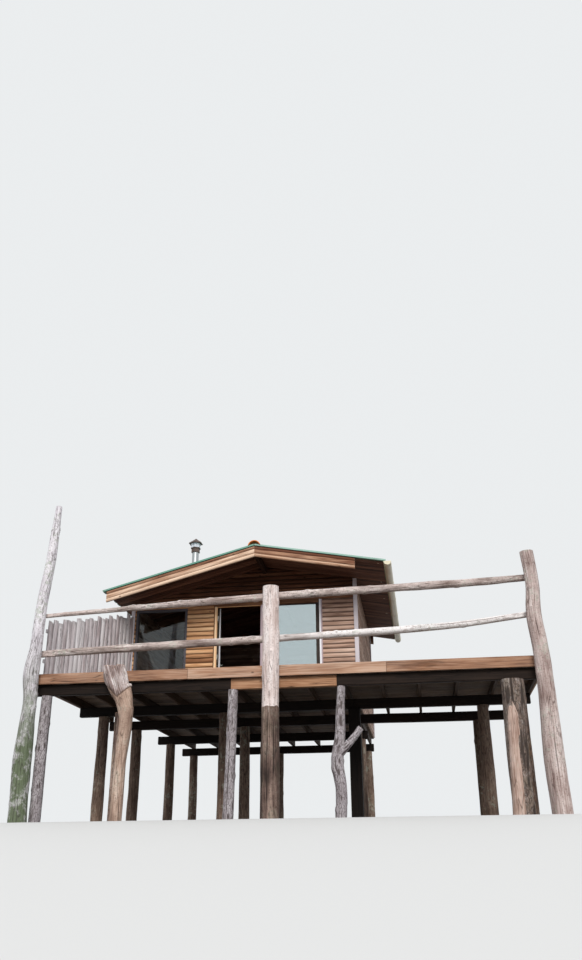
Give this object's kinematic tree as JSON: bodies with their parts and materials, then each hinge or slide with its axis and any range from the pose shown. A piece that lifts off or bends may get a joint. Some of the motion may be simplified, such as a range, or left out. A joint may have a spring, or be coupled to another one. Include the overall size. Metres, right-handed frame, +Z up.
{
  "type": "tree house",
  "caption": "Timber cabin with a ridged sheet roof, a glazed front and a hinged door, on a log-railed deck carried by posts and bare trunks",
  "frame": {"origin": "centre of the flat foot of the tall post in the middle of the front, at ground level", "axes": "+X to the right along the front, +Y from the front edge of the deck into the cabin, +Z up"},
  "size_m": [8.1204, 8.7069, 6.235],
  "materials": {
    "peeled_log": "peeled log, weathered pale with cracks",
    "bark_log": "log with grey bark",
    "pale_trunk": "bare silvery trunk",
    "old_timber": "dark old sawn timber",
    "new_timber": "fresh light sawn timber",
    "deck_timber": "warm brown stained boards",
    "grey_slab": "weathered waney slabs",
    "log_cladding": "orange-brown stained log cladding",
    "pine_frame": "fresh yellow pine",
    "dark_frame": "dark painted window frame",
    "corner_board": "light grey painted boards",
    "white_door": "white painted door leaf",
    "glass": "clear glass",
    "handle_metal": "brushed steel lever",
    "soffit": "dark reddish-brown boards",
    "roof_sheet": "teal green ribbed sheet",
    "terracotta": "fired clay ridge tiles",
    "gutter_cream": "cream plastic gutter",
    "flue_metal": "galvanised flue"
  },
  "bodies": {
    "structure": {"central_post": "peeled_log", "flared_post": "pale_trunk", "left_trunk": "pale_trunk", "right_trunk": "pale_trunk", "split_post": "bark_log", "left_corner_post": "bark_log", "bark_post": "bark_log", "crooked_post": "bark_log", "rear_posts": "bark_log", "cabin_posts": "bark_log", "old_front_bearer": "old_timber", "new_front_bearer": "new_timber", "rear_bearers": "old_timber", "joists": "old_timber", "front_fascia": "deck_timber", "end_fascias": "deck_timber", "deck_boards": "deck_timber", "upper_rail_left": "peeled_log", "upper_rail_right": "peeled_log", "lower_rail_left": "peeled_log", "lower_rail_right": "peeled_log", "slab_screen": "grey_slab", "cabin_floor": "deck_timber", "front_wall_left": "log_cladding", "front_wall_middle": "log_cladding", "front_wall_right": "log_cladding", "front_gable": "log_cladding", "left_wall": "log_cladding", "right_wall": "log_cladding", "back_wall": "log_cladding", "corner_boards": "corner_board", "window_frame": "dark_frame", "fixed_glass": "glass", "door_frame": "pine_frame", "ridge_beam": "old_timber", "roof_boards": "soffit", "roof_sheets": "roof_sheet", "barge_boards": "log_cladding", "ridge_tiles": "terracotta", "gutter": "gutter_cream", "flue_pipe": "flue_metal", "flue_cowl": "flue_metal"},
    "door": {"door_leaf": "white_door", "door_glass": "glass", "door_handle": "handle_metal"}
  },
  "joints": [
    {"name": "door_swing", "type": "hinge", "parent": "structure", "child": "door", "pos_m": [-1.722, 3.801, 3.2], "axis": [0, 0, 1], "range_deg": [-102, 45]}
  ]
}
